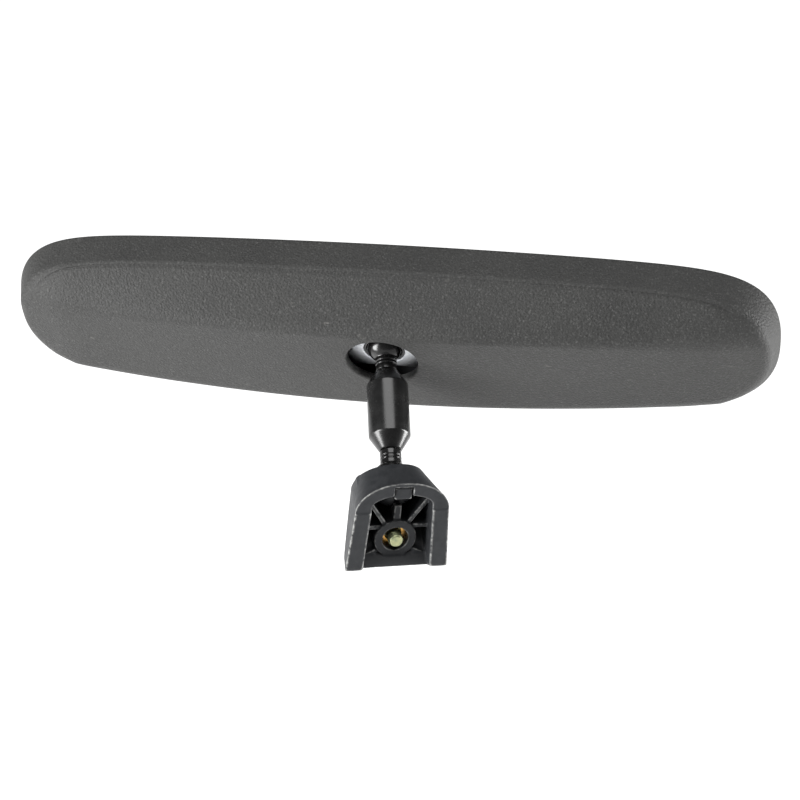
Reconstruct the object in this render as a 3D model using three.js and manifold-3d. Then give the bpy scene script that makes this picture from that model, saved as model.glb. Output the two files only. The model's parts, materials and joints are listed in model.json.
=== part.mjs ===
// Interior rearview mirror: a wide head on a short arm with a ball at each end, and a U-shaped base.
// Millimetres, +Z up. The origin is on the mounting screw's axis, in the mounting plane, and the
// mounting face looks along +Y. The head hangs off the arm on the -Y side, with its glass facing -Y.
import * as THREE from 'three';
import { ConvexGeometry } from 'three/addons/geometries/ConvexGeometry.js';
import { mergeVertices } from 'three/addons/utils/BufferGeometryUtils.js';
import Module from 'manifold-3d';

const wasm = await Module();
wasm.setup();

// ---- driving dimensions ----------------------------------------------------------------------
const GAP = 0.3;               // clearance between neighbouring pieces
const OVERLAP = 0.1;           // how far joined or cut shapes reach into each other
const ROUND = 24;              // sides of a turned piece
const SMALL_ROUND = 16;        // sides of a screw or a small hole
const DEG = Math.PI / 180;

// head
const HEAD_LENGTH = 250;
const HEAD_HEIGHT = 58.4;
const OUTLINE_POWER_X = 11.2;  // superellipse powers of the head's outline
const OUTLINE_POWER_Z = 2.44;
const EDGE_BOW = 3.3;          // the long edges draw in this much towards the ends
const CORNER_CUT = 3.25;       // and the lower corners are this much higher
const CORNER_CUT_POWER = 8;
const OUTLINE_POINTS = 60;
const OUTLINE_SAMPLES = 1440;
const RIM_DEPTH = 12.9;        // front edge to the step behind the rim band
const RIM_TAPER = 2.6;         // how far the rim band draws in over that depth
const RIM_TAPER_END = 3.4;     // and at the head's two ends
const BULGE_END = 106.8;       // the back bulge ends this far from the middle
const BULGE_POINTS = 15;
const LOWER_EDGE = { z: -26.9, y: 10.3, zEnd: -19.9, yEnd: 7.5 };
const CREST = { z: 10.7, y: 26.7, zEnd: 9.1, yEnd: 17 };
const END_FALL = 0.22;         // beyond the bulge the back loses this much depth per mm
const CORNER_RISE = 0.4;       // and the rim's lower corners rise this much per mm
const WALL = 2.4;
const SLOPE_FACTOR = 1.1;      // a sloped wall's depth in Y over its thickness
const LOWER_RISE = 1.6;        // the cavity's lower edge against the outer one, per wall thickness
const LOWER_DROP = 0.4;
const LIP_WIDTH = 5.2;         // front lip that holds the glass
const LIP_DEPTH = 1.2;
const LEDGE_DEPTH = 6.2;       // shoulder behind the glass
const LEDGE_INSET = 5.6;
const POCKET_INSET = 3.8;
const GLASS_DEPTH = LIP_DEPTH + GAP;
const GLASS_THICK = 2.2;
const SILVER_THICK = 0.25;
const FILM_THICK = 0.4;
const GASKET_THICK = 0.7;
const GASKET_WIDTH = 5;
const COATING_INSET = 0.6;     // the layers behind the glass stop this far inside the pocket
const HOLE_RADIUS = 11.5;
const HOLE_SIDES = 40;
const HOLE_TILT = 23.65 * DEG; // the back face looks this far below the head's back
const HOLE_HEIGHT = 7.2;       // ball centre to the back face, along the hole's axis
const HEAD_BALL = { y: 14.11, z: -0.19 };

// ball joints, the same at both ends of the arm
const BALL_RADIUS = 6.2;
const LINER_INNER_RADIUS = 6.4;
const LINER_OUTER_RADIUS = 6.8;
const SOCKET_RADIUS = 7.0;
const MOUTH_HEIGHT = 2.4;      // the socket closes over the ball this far past its middle
const CUP_RADIUS = 8.1;
const MOUTH_RADIUS = Math.sqrt(SOCKET_RADIUS ** 2 - MOUTH_HEIGHT ** 2);
const LINER_SPLIT_LOW = -2.0;
const LINER_SPLIT_HIGH = 0.4;

// arm
const ARM_LENGTH = 47.0;       // ball centre to ball centre
const NECK_RADIUS = 3.4;
const NECK_END = 9.6;          // neck's end, from the ball's centre
const GROOVE_DEPTH = 0.2;
const GROOVE_PLACES = [6.3, 7.4];
const GROOVE_WIDTH = 0.6;
const GROOVE_SLOPE = 0.15;
const SHANK_RADIUS = 2.6;
const SHANK_END = 20;
const SLEEVE_RADIUS = 6.65;
const SLEEVE_TIP_RADIUS = 3.6;
const SLEEVE_TAPER = 4.8;

// base
const BASE_BOTTOM = -8.4;      // below the screw axis
const BASE_TOP = 22.9;
const BASE_HALF_BOTTOM = 16.5;
const BASE_HALF_TOP = 15;
const BASE_SHOULDER = 13;      // where the arch starts
const DRAFT_HALF = 0.18;       // per mm of depth, the base narrows by this on each side
const DRAFT_SHOULDER = 0.25;   // and its arch starts this much lower
const DRAFT_FRONT = 2;         // the drafted shape is laid out from here
const DRAFT_BACK = -26;        // to here, past the base's front and back
const POCKET_HALF_BOTTOM = 10.7;
const POCKET_HALF_TOP = 9.6;
const POCKET_SHOULDER = 14.5;
const POCKET_TOP = 18.4;
const ARCH_STEPS = 20;
const BOTTOM_THICK = 8.5;      // base depth at its lower edge
const BACK_REACH = 10;         // socket axis to the back corner, in the mouth's plane
const BALL_DEPTH = 15;         // lower ball centre behind the mounting plane
const BALL_RISE = 15;          // and above the screw axis
const SOCKET_PITCH = 36 * DEG; // the base socket looks back and up by this angle
const RIB_FRONT = -5;
const RIB_THICK = 1.3;
const HUB_FRONT = -4.5;
const HUB_RADIUS = 6.7;
const HUB_BORE = 4.1;
const HUB_FLOOR = -7.6;
const COUNTERBORE = 5.4;
const SCREW_RADIUS = 2.4;
const SCREW_TIP = -3;
const SCREW_HEAD_RADIUS = 4.4;
const SCREW_HEAD_THICK = 2.8;
const HEAD_CROWN = 0.75;       // a screw head's flat top over its full radius
const HEAD_SIDE = 0.6;         // and its straight side over its full thickness
const TIP_CHAMFER = 0.5;
const WASHER_RADIUS = 5;
const WASHER_THICK = 1;
const KEY_HALF = 2.7;          // key finger of the base socket cup
const KEY_FINGER = { yBack: -9.5, yFront: -0.8, zLow: 16.8, zHigh: 21 };
const KEY_NOTCH = { yBack: -10, zLow: 14, zHigh: 21.4 };
const RIB_LINES = [            // each rib's two [x, z] ends on one side
  [[3.5, 4.2], [10.6, 4.2]],
  [[3.5, 5], [10.6, 15.5]],
  [[4, -3.5], [10.6, -7]],
];
const CENTRE_RIB = { low: 5, high: 12, thick: 2.3 };
const FLOOR_FRONT = -0.8;      // the pocket's lower wall, at its front edge
const FLOOR_KNEE = [-7, -4.6]; // and the [y, z] point where it turns up
const POCKET_REACH = { low: -8.5, high: 5.5 };
const BEYOND = 40;             // cutting shapes run on past the piece by up to this


// bracket inside the head
const BRACKET_HALF_LENGTH = 25;
const BRACKET_HALF_WIDTH = 9;
const BRACKET_LOW = 0.2;
const BRACKET_SCREW_X = 20.5;
const CLAMP_SCREW_X = 12.5;
const FLANGE_HALF_LENGTH = 17;
const FLANGE_HALF_WIDTH = 7;
const FLANGE_LOW = -1.9;
const FLANGE_HIGH = BRACKET_LOW - GAP;
const BOSS_RADIUS = 3.4;
const BOSS_LOW = MOUTH_HEIGHT + GAP;
const BOSS_BORE_END = 4.8;
const BOSS_SETBACK = 0.8;      // the bosses end this far under the back face
const CLAMP_SCREW = { radius: 1.5, headRadius: 3, headThick: 1.8, seat: -6, tip: 2.2 };
const BRACKET_SCREW = { radius: 1.4, headRadius: 2.8, headThick: 1.7, seat: -0.1, tip: 4.4 };
const BRACKET_HOLE = 1.8;      // clearance holes for the clamp screws
const FLANGE_HOLE = 1.9;
const THREAD_HOLE = 1.7;       // holes for the bracket screws
const SPRING = { radius: 2.5, wire: 0.4, turns: 3.5, low: -5.7, stepsPerTurn: 12, wireSides: 3 };

// rest pose
const ARM_YAW = -6.5 * DEG;
const HEAD_YAW = -22.35 * DEG;
const HEAD_PITCH = -6.5 * DEG;
const HEAD_ROLL = 6.4 * DEG;

// ---- solids ----------------------------------------------------------------------------------
// A closed geometry with shared vertices, no empty triangles and its faces pointing out.
function closed(geometry) {
  const bare = geometry.clone();
  bare.deleteAttribute('normal');
  bare.deleteAttribute('uv');
  const merged = mergeVertices(bare, 1e-4);
  const p = merged.attributes.position;
  const source = merged.index.array;
  const kept = [];
  let volume = 0;
  const a = new THREE.Vector3();
  const b = new THREE.Vector3();
  const c = new THREE.Vector3();
  for (let i = 0; i < source.length; i += 3) {
    const [u, v, w] = [source[i], source[i + 1], source[i + 2]];
    if (u === v || v === w || w === u) continue;
    kept.push(u, v, w);
    a.fromBufferAttribute(p, u);
    b.fromBufferAttribute(p, v);
    c.fromBufferAttribute(p, w);
    volume += a.dot(b.cross(c));
  }
  if (volume < 0) {
    for (let i = 0; i < kept.length; i += 3) [kept[i], kept[i + 1]] = [kept[i + 1], kept[i]];
  }
  merged.setIndex(kept);
  return merged;
}

function toSolid(geometry) {
  const g = closed(geometry);
  return new wasm.Manifold(new wasm.Mesh({
    numProp: 3,
    vertProperties: new Float32Array(g.attributes.position.array),
    triVerts: new Uint32Array(g.index.array),
  }));
}

function toGeometry(solid) {
  const mesh = solid.getMesh();
  const g = new THREE.BufferGeometry();
  g.setAttribute('position', new THREE.BufferAttribute(new Float32Array(mesh.vertProperties), 3));
  g.setIndex(new THREE.BufferAttribute(new Uint32Array(mesh.triVerts), 1));
  return g;
}

const joined = (parts) => parts.reduce((all, part) => all.add(part));
const cut = (body, tools) => tools.reduce((rest, tool) => rest.subtract(tool), body);

// A box from its lowest and highest corners.
function block(low, high) {
  const size = high.map((value, i) => value - low[i]);
  const g = new THREE.BoxGeometry(...size);
  return g.translate(...low.map((value, i) => value + size[i] / 2));
}

// A turned piece about Z; the profile is a list of [radius, z].
function turned(profile, sides = ROUND) {
  const points = profile.map(([r, z]) => new THREE.Vector2(r, z));
  return new THREE.LatheGeometry(points, sides).rotateX(Math.PI / 2);
}

const rod = (radius, low, high, sides = SMALL_ROUND) =>
  turned([[0, low], [radius, low], [radius, high], [0, high]], sides);

// Points of a circle arc in the [radius, z] plane, between two heights.
function arc(radius, zFrom, zTo, steps) {
  const from = Math.asin(THREE.MathUtils.clamp(zFrom / radius, -1, 1));
  const to = Math.asin(THREE.MathUtils.clamp(zTo / radius, -1, 1));
  return Array.from({ length: steps + 1 }, (_, i) => {
    const angle = from + ((to - from) * i) / steps;
    return [Math.max(0, radius * Math.cos(angle)), radius * Math.sin(angle)];
  });
}

const sphere = (radius) => turned(arc(radius, -radius, radius, ROUND / 2));

// A plate with an outline in X and Z, from yFront back to yBack.
function plate(shape, yFront, yBack) {
  const depth = yFront - yBack;
  const g = new THREE.ExtrudeGeometry(shape, { depth, bevelEnabled: false, curveSegments: 10 });
  return g.rotateX(Math.PI / 2).translate(0, yFront, 0);
}

// A wedge with a profile of [y, z] points, across the width in X.
function wedge(profile, halfWidth) {
  const shape = new THREE.Shape(profile.map(([y, z]) => new THREE.Vector2(y, z)));
  const g = new THREE.ExtrudeGeometry(shape, { depth: 2 * halfWidth, bevelEnabled: false });
  return g.rotateX(Math.PI / 2).rotateZ(Math.PI / 2).translate(-halfWidth, 0, 0);
}

// ---- head ------------------------------------------------------------------------------------
// Head frame: origin in the middle of the front opening, +Y to the back, +Z up.
const ballPlace = new THREE.Matrix4()
  .makeRotationX(-(Math.PI / 2 + HOLE_TILT))
  .setPosition(0, HEAD_BALL.y, HEAD_BALL.z);
const inSocket = (geometry) => geometry.applyMatrix4(ballPlace);

// A point of the head's outline, drawn in by `inset` all round or by another amount at the ends.
function outlinePoint(angle, inset, insetEnd = inset) {
  const c = Math.cos(angle);
  const s = Math.sin(angle);
  const t = Math.sign(c) * Math.abs(c) ** (2 / OUTLINE_POWER_X);
  const h = Math.sign(s) * Math.abs(s) ** (2 / OUTLINE_POWER_Z);
  const raise = h < 0 ? CORNER_CUT * Math.abs(t) ** CORNER_CUT_POWER * -h : 0;
  return [(HEAD_LENGTH / 2 - insetEnd) * t, (HEAD_HEIGHT / 2 - inset - EDGE_BOW * t * t) * h + raise];
}

// Angles that spread the points evenly by length and by how much the outline turns.
function spreadAngles(count) {
  const at = (i) => (2 * Math.PI * i) / OUTLINE_SAMPLES;
  const points = Array.from({ length: OUTLINE_SAMPLES + 2 }, (_, i) => outlinePoint(at(i), 0));
  const steps = points.slice(1).map(([x, z], i) => [x - points[i][0], z - points[i][1]]);
  const turns = steps.slice(1).map(([x, z], i) => {
    const [u, v] = steps[i];
    return Math.abs(Math.atan2(u * z - v * x, u * x + v * z));
  });
  const lengths = steps.map(([x, z]) => Math.hypot(x, z));
  const wholeLength = lengths.reduce((all, length) => all + length);
  const wholeTurn = turns.reduce((all, turn) => all + turn);
  const angles = [];
  let walked = 0.5 / count;
  turns.forEach((turn, i) => {
    walked += lengths[i] / wholeLength / 2 + turn / wholeTurn / 2;
    if (angles.length < count && walked * count >= angles.length + 1) angles.push(at(i + 1));
  });
  return angles;
}

const outlineAngles = spreadAngles(OUTLINE_POINTS);

const outline = (inset, insetEnd) => outlineAngles.map((angle) => outlinePoint(angle, inset, insetEnd));

const flatOutline = (inset) => outline(inset).map(([x, z]) => new THREE.Vector2(x, z));

const outlineShape = (inset) => new THREE.Shape(flatOutline(inset));

const ring = (inset, y) => outline(inset).map(([x, z]) => new THREE.Vector3(x, y, z));

// A bulge edge's place at t, from -1 at one end over 0 in the middle to 1 at the other.
function edgeAt(edge, t) {
  const bow = Math.min(1, t * t);
  return { z: edge.z + (edge.zEnd - edge.z) * bow, y: edge.y + (edge.yEnd - edge.y) * bow };
}

function bulgeEdge(edge, xEnd, zShift, yShift) {
  return Array.from({ length: BULGE_POINTS }, (_, i) => {
    const t = (2 * i) / (BULGE_POINTS - 1) - 1;
    const { y, z } = edgeAt(edge, t);
    return new THREE.Vector3(t * xEnd, y + yShift, z + zShift);
  });
}

const beyondBulge = (x) => Math.max(0, Math.abs(x) - BULGE_END);

// Depth of the flat back face that runs from the lower edge up to the crest.
function backFaceDepth(x, z) {
  const low = edgeAt(LOWER_EDGE, x / BULGE_END);
  const high = edgeAt(CREST, x / BULGE_END);
  return low.y + ((high.y - low.y) * (z - low.z)) / (high.z - low.z) - END_FALL * beyondBulge(x);
}

// The back end of the rim band: level along the top, and running into the back face below.
function rimEnd(wall) {
  return outline(RIM_TAPER + wall, RIM_TAPER_END + wall).map(([x, level]) => {
    const lowest = edgeAt(LOWER_EDGE, x / BULGE_END).z + CORNER_RISE * beyondBulge(x) + wall;
    const z = Math.max(level, lowest);
    const y = Math.min(RIM_DEPTH - wall, backFaceDepth(x, z) - wall * SLOPE_FACTOR);
    return new THREE.Vector3(x, y, z);
  });
}

function housing() {
  const outer = new ConvexGeometry([
    ...ring(0, 0),
    ...rimEnd(0),
    ...bulgeEdge(LOWER_EDGE, BULGE_END, 0, 0),
    ...bulgeEdge(CREST, BULGE_END, 0, 0),
  ]);
  const cavity = new ConvexGeometry([
    ...ring(LEDGE_INSET, LEDGE_DEPTH),
    ...rimEnd(WALL),
    ...bulgeEdge(LOWER_EDGE, BULGE_END - WALL, WALL * LOWER_RISE, -WALL * LOWER_DROP),
    ...bulgeEdge(CREST, BULGE_END - WALL, 0, -WALL * SLOPE_FACTOR),
  ]);
  const opening = plate(outlineShape(LIP_WIDTH), LIP_DEPTH + OVERLAP, -1);
  const pocket = plate(outlineShape(POCKET_INSET), LEDGE_DEPTH + OVERLAP, LIP_DEPTH);
  const hole = inSocket(rod(HOLE_RADIUS, BOSS_LOW, BEYOND, HOLE_SIDES));
  const sides = [-1, 1];
  const boss = (x) => inSocket(rod(BOSS_RADIUS, BOSS_LOW, HOLE_HEIGHT - BOSS_SETBACK).translate(x, 0, 0));
  const bore = (x) => inSocket(rod(THREAD_HOLE, 0, BOSS_BORE_END).translate(x, 0, 0));
  const shell = cut(toSolid(outer), [cavity, opening, pocket].map(toSolid));
  const bosses = sides.map((side) => toSolid(boss(side * BRACKET_SCREW_X)));
  const bores = sides.map((side) => toSolid(bore(side * BRACKET_SCREW_X)));
  return toGeometry(cut(joined([shell, ...bosses]), [toSolid(hole), ...bores]));
}

const glassBack = GLASS_DEPTH + GLASS_THICK;
const silverFront = glassBack + GAP;
const filmFront = silverFront + SILVER_THICK + GAP;
const gasketFront = filmFront + FILM_THICK + GAP;

// A layer of the glass stack, as deep in Y as it is thick.
const layer = (inset, front, thick) => plate(outlineShape(inset), front + thick, front);

function foamGasket() {
  const shape = outlineShape(POCKET_INSET + GAP);
  shape.holes.push(new THREE.Path(flatOutline(POCKET_INSET + GASKET_WIDTH)));
  return plate(shape, gasketFront + GASKET_THICK, gasketFront);
}

// ---- socket parts in the head, in the socket's frame: +Z out of the hole ----------------------
function socketBracket() {
  const shape = new THREE.Shape();
  const bend = BRACKET_HALF_WIDTH;
  shape.moveTo(-BRACKET_HALF_LENGTH + bend, -bend);
  shape.lineTo(BRACKET_HALF_LENGTH - bend, -bend);
  shape.absarc(BRACKET_HALF_LENGTH - bend, 0, bend, -Math.PI / 2, Math.PI / 2, false);
  shape.lineTo(-BRACKET_HALF_LENGTH + bend, bend);
  shape.absarc(-BRACKET_HALF_LENGTH + bend, 0, bend, Math.PI / 2, (3 * Math.PI) / 2, false);
  const flat = new THREE.ExtrudeGeometry(shape, {
    depth: MOUTH_HEIGHT - BRACKET_LOW, bevelEnabled: false, curveSegments: 8,
  }).translate(0, 0, BRACKET_LOW);
  const holes = [-1, 1].flatMap((side) => [
    rod(BRACKET_HOLE, -BEYOND, BEYOND).translate(side * CLAMP_SCREW_X, 0, 0),
    rod(THREAD_HOLE, -BEYOND, BEYOND).translate(side * BRACKET_SCREW_X, 0, 0),
  ]);
  return toGeometry(cut(toSolid(flat), [sphere(SOCKET_RADIUS), ...holes].map(toSolid)));
}

// The half below the plane z = top of a spherical cup with a hollow for the ball and its liner.
function cupSolid(radius, top) {
  const lowHalf = block([-radius - 1, -radius - 1, -radius - 1], [radius + 1, radius + 1, top]);
  return toSolid(sphere(radius)).intersect(toSolid(lowHalf));
}

function socketCup() {
  const flange = block(
    [-FLANGE_HALF_LENGTH, -FLANGE_HALF_WIDTH, FLANGE_LOW],
    [FLANGE_HALF_LENGTH, FLANGE_HALF_WIDTH, FLANGE_HIGH],
  );
  const hole = rod(FLANGE_HOLE, -BEYOND, BEYOND);
  const holes = [-1, 1].map((side) => toSolid(hole.clone().translate(side * CLAMP_SCREW_X, 0, 0)));
  const body = joined([cupSolid(CUP_RADIUS + OVERLAP, FLANGE_HIGH), toSolid(flange)]);
  return toGeometry(cut(body, [toSolid(sphere(SOCKET_RADIUS)), ...holes]));
}

// A pan-head screw along +Z: the head's underside is at z = seat, the tip at z = tip.
function screw({ radius, headRadius, headThick, seat, tip }) {
  return turned([
    [0, seat - headThick],
    [headRadius * HEAD_CROWN, seat - headThick],
    [headRadius, seat - headThick * HEAD_SIDE],
    [headRadius, seat],
    [radius, seat],
    [radius, tip - TIP_CHAMFER],
    [radius - TIP_CHAMFER, tip],
    [0, tip],
  ], SMALL_ROUND);
}

class Coil extends THREE.Curve {
  constructor(radius, low, high, turns) {
    super();
    Object.assign(this, { radius, low, high, turns });
  }

  getPoint(t, target = new THREE.Vector3()) {
    const angle = 2 * Math.PI * this.turns * t;
    const z = this.low + (this.high - this.low) * t;
    return target.set(this.radius * Math.cos(angle), this.radius * Math.sin(angle), z);
  }
}

function clampSpring() {
  const { radius, wire, turns, low, stepsPerTurn, wireSides } = SPRING;
  const section = new THREE.Shape().absarc(0, 0, wire, 0, 2 * Math.PI, false);
  const path = new Coil(radius, low + wire, FLANGE_LOW - GAP - wire, turns);
  return new THREE.ExtrudeGeometry(section, {
    steps: turns * stepsPerTurn, curveSegments: wireSides, extrudePath: path,
  });
}

// ---- ball joint liners, in the frame of their socket ------------------------------------------
function linerInner() {
  return turned([
    ...arc(LINER_OUTER_RADIUS, -LINER_OUTER_RADIUS, LINER_SPLIT_LOW, 6),
    ...arc(LINER_INNER_RADIUS, LINER_SPLIT_LOW, -LINER_INNER_RADIUS, 6),
  ]);
}

function linerOuter() {
  const top = MOUTH_HEIGHT - OVERLAP;
  const profile = [
    ...arc(LINER_OUTER_RADIUS, LINER_SPLIT_HIGH, top, 3),
    ...arc(LINER_INNER_RADIUS, top, LINER_SPLIT_HIGH, 3),
  ];
  return turned([...profile, profile[0]]);
}

// ---- arm, along +Z from the lower ball's centre ------------------------------------------------
function ballStud() {
  const neckStart = Math.sqrt(BALL_RADIUS ** 2 - NECK_RADIUS ** 2);
  const grooves = GROOVE_PLACES.flatMap((z) => [
    [NECK_RADIUS, z],
    [NECK_RADIUS - GROOVE_DEPTH, z + GROOVE_SLOPE],
    [NECK_RADIUS - GROOVE_DEPTH, z + GROOVE_WIDTH - GROOVE_SLOPE],
    [NECK_RADIUS, z + GROOVE_WIDTH],
  ]);
  return turned([
    ...arc(BALL_RADIUS, -BALL_RADIUS, neckStart, 10),
    ...grooves,
    [NECK_RADIUS, NECK_END],
    [SHANK_RADIUS, NECK_END],
    [SHANK_RADIUS, SHANK_END],
    [0, SHANK_END],
  ]);
}

function armSleeve() {
  const low = NECK_END + GAP;
  const high = ARM_LENGTH - low;
  const bore = SHANK_RADIUS + GAP;
  return turned([
    [bore, low],
    [SLEEVE_TIP_RADIUS, low],
    [SLEEVE_RADIUS, low + SLEEVE_TAPER],
    [SLEEVE_RADIUS, high - SLEEVE_TAPER],
    [SLEEVE_TIP_RADIUS, high],
    [bore, high],
    [bore, low],
  ]);
}

// ---- base ------------------------------------------------------------------------------------
const lowerBall = new THREE.Vector3(0, -BALL_DEPTH, BALL_RISE);
const socketPlace = new THREE.Matrix4().makeRotationX(Math.PI / 2 - SOCKET_PITCH).setPosition(lowerBall);
const inBaseSocket = (geometry) => geometry.applyMatrix4(socketPlace);

// An arched outline in X and Z: straight sides, then half an ellipse.
function archShape(halfBottom, halfTop, bottom, shoulder, top) {
  const shape = new THREE.Shape();
  shape.moveTo(-halfBottom, bottom);
  shape.lineTo(halfBottom, bottom);
  shape.lineTo(halfTop, shoulder);
  shape.absellipse(0, shoulder, halfTop, top - shoulder, 0, Math.PI, false, 0);
  shape.lineTo(-halfBottom, bottom);
  return shape;
}

// The [y, z] point of the mouth's plane at a distance from the socket's axis.
function rimPoint(distance, height = MOUTH_HEIGHT) {
  const c = Math.cos(SOCKET_PITCH);
  const s = Math.sin(SOCKET_PITCH);
  return [-BALL_DEPTH - height * c + distance * s, BALL_RISE + height * s + distance * c];
}

// A rib between two [x, z] points, from its front edge back through the base's depth.
function rib([x0, z0], [x1, z1], thick = RIB_THICK) {
  const length = Math.hypot(x1 - x0, z1 - z0);
  const g = block([-length / 2, -BEYOND, -thick / 2], [length / 2, RIB_FRONT, thick / 2]);
  return g.rotateY(-Math.atan2(z1 - z0, x1 - x0)).translate((x0 + x1) / 2, 0, (z0 + z1) / 2);
}

function baseHull() {
  const profile = [
    [0, BASE_BOTTOM],
    [0, BASE_TOP],
    rimPoint((BASE_TOP - rimPoint(0)[1]) / Math.cos(SOCKET_PITCH)),
    rimPoint(-BACK_REACH),
    [-BOTTOM_THICK, BASE_BOTTOM],
  ];
  const drafted = [DRAFT_FRONT, DRAFT_BACK].flatMap((y) => {
    const draw = DRAFT_HALF * y;
    const shoulder = BASE_SHOULDER + DRAFT_SHOULDER * y;
    return archShape(BASE_HALF_BOTTOM + draw, BASE_HALF_TOP + draw, BASE_BOTTOM, shoulder, BASE_TOP)
      .getPoints(ARCH_STEPS)
      .map(({ x, y: z }) => new THREE.Vector3(x, y, z));
  });
  return toSolid(wedge(profile, BEYOND)).intersect(toSolid(new ConvexGeometry(drafted)));
}

function basePocket() {
  const profile = [
    [1, BASE_BOTTOM - 1],
    [FLOOR_FRONT, BASE_BOTTOM - 1],
    [FLOOR_FRONT, BASE_BOTTOM],
    FLOOR_KNEE,
    rimPoint(POCKET_REACH.low, -MOUTH_HEIGHT),
    rimPoint(POCKET_REACH.high, -MOUTH_HEIGHT),
    [1, BASE_TOP - 2],
  ];
  const arch = archShape(
    POCKET_HALF_BOTTOM, POCKET_HALF_TOP, BASE_BOTTOM - 1, POCKET_SHOULDER, POCKET_TOP,
  );
  return toSolid(wedge(profile, BEYOND)).intersect(toSolid(plate(arch, 2, -BEYOND)));
}

function baseCover() {
  const hull = baseHull();
  const mirrored = (side, [x, z]) => [side * x, z];
  const ribs = [-1, 1].flatMap((side) =>
    RIB_LINES.map(([inner, outer]) => rib(mirrored(side, inner), mirrored(side, outer))));
  ribs.push(rib([0, CENTRE_RIB.low], [0, CENTRE_RIB.high], CENTRE_RIB.thick));
  const alongY = (g) => g.rotateX(Math.PI / 2);
  const hub = alongY(rod(HUB_RADIUS, -HUB_FRONT, BEYOND, ROUND));
  const inside = joined([...ribs, hub].map(toSolid)).intersect(hull);
  const cupRecess = inBaseSocket(toGeometry(cupSolid(CUP_RADIUS + GAP, GAP - OVERLAP)));
  const mouth = inBaseSocket(rod(MOUTH_RADIUS, 1, 9, ROUND));
  const notch = block(
    [-KEY_HALF - GAP, KEY_NOTCH.yBack, KEY_NOTCH.zLow], [KEY_HALF + GAP, 1, KEY_NOTCH.zHigh],
  );
  const screwBore = alongY(turned([
    [0, 0],
    [HUB_BORE, 0],
    [HUB_BORE, -HUB_FLOOR],
    [COUNTERBORE, -HUB_FLOOR],
    [COUNTERBORE, BEYOND],
    [0, BEYOND],
  ], ROUND));
  const tools = [inBaseSocket(sphere(SOCKET_RADIUS)), cupRecess, mouth, notch, screwBore];
  return toGeometry(cut(joined([hull.subtract(basePocket()), inside]), tools.map(toSolid)));
}

// The cup that backs the lower ball, with the key finger that locks it in the arch.
function baseSocketCup() {
  const shell = toSolid(inBaseSocket(toGeometry(cupSolid(CUP_RADIUS, -OVERLAP))));
  const finger = block(
    [-KEY_HALF, KEY_FINGER.yBack, KEY_FINGER.zLow], [KEY_HALF, KEY_FINGER.yFront, KEY_FINGER.zHigh],
  );
  const hollow = inBaseSocket(sphere(SOCKET_RADIUS));
  return toGeometry(joined([shell, toSolid(finger)]).subtract(toSolid(hollow)));
}

const washerFront = HUB_FLOOR - GAP;
const screwSeat = washerFront - WASHER_THICK - GAP;

function screwWasher() {
  const hole = SCREW_RADIUS + GAP;
  return turned([
    [hole, washerFront - WASHER_THICK],
    [WASHER_RADIUS, washerFront - WASHER_THICK],
    [WASHER_RADIUS, washerFront],
    [hole, washerFront],
    [hole, washerFront - WASHER_THICK],
  ]).rotateX(-Math.PI / 2);
}

const mountScrew = () => screw({
  radius: SCREW_RADIUS,
  headRadius: SCREW_HEAD_RADIUS,
  headThick: SCREW_HEAD_THICK,
  seat: screwSeat,
  tip: SCREW_TIP,
}).rotateX(-Math.PI / 2);

// ---- assembly --------------------------------------------------------------------------------
const material = (color, roughness, metalness = 0) =>
  new THREE.MeshStandardMaterial({ color, roughness, metalness });
const grainedPlastic = material(0x4a4a49, 0.75);
const basePlastic = material(0x3b3c3d, 0.7);
const linerPlastic = material(0x1d1d1e, 0.45);
const blackMetal = material(0x17181a, 0.3, 0.6);
const steel = material(0x8d8f92, 0.35, 1);
const zinc = material(0xc9bf8a, 0.35, 1);

function add(parent, name, geometry, finish) {
  const mesh = new THREE.Mesh(closed(geometry), finish.clone());
  mesh.name = name;
  parent.add(mesh);
  return mesh;
}

const mirror = new THREE.Group();
add(mirror, 'base_cover', baseCover(), basePlastic);
add(mirror, 'base_socket_cup', baseSocketCup(), basePlastic);
add(mirror, 'mount_screw', mountScrew(), zinc);
add(mirror, 'screw_washer', screwWasher(), material(0xd09a45, 0.4, 1));

const baseSocket = new THREE.Group();
baseSocket.position.copy(lowerBall);
baseSocket.rotation.set(Math.PI / 2 - SOCKET_PITCH, 0, 0);
mirror.add(baseSocket);
add(baseSocket, 'lower_liner_outer', linerOuter(), linerPlastic);
add(baseSocket, 'lower_liner_inner', linerInner(), linerPlastic);

const arm = new THREE.Group();
arm.position.copy(lowerBall);
arm.rotation.set(Math.PI / 2 - SOCKET_PITCH, 0, ARM_YAW, 'ZYX');
mirror.add(arm);
add(arm, 'lower_ball_stud', ballStud(), blackMetal);
add(arm, 'arm_sleeve', armSleeve(), blackMetal);
const upperStud = add(arm, 'upper_ball_stud', ballStud(), blackMetal);
upperStud.position.z = ARM_LENGTH;
upperStud.rotation.x = Math.PI;

// The head group stands at the upper ball; its child frame starts at the front opening.
arm.updateMatrixWorld(true);
const head = new THREE.Group();
head.position.copy(arm.localToWorld(new THREE.Vector3(0, 0, ARM_LENGTH)));
head.rotation.set(HEAD_PITCH, HEAD_ROLL, HEAD_YAW, 'ZXY');
mirror.add(head);
const front = new THREE.Group();
front.position.setFromMatrixPosition(ballPlace).negate();
head.add(front);
add(front, 'housing', housing(), grainedPlastic);
const glass = layer(POCKET_INSET + GAP, GLASS_DEPTH, GLASS_THICK);
const silvering = layer(POCKET_INSET + COATING_INSET, silverFront, SILVER_THICK);
const film = layer(POCKET_INSET + COATING_INSET, filmFront, FILM_THICK);
add(front, 'mirror_glass', glass, material(0xdfe6e8, 0.02));
add(front, 'silver_coating', silvering, material(0xf0f2f3, 0.03, 1));
add(front, 'backing_film', film, material(0x26272a, 0.6));
add(front, 'foam_gasket', foamGasket(), material(0x2b2b2b, 0.95));

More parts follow.
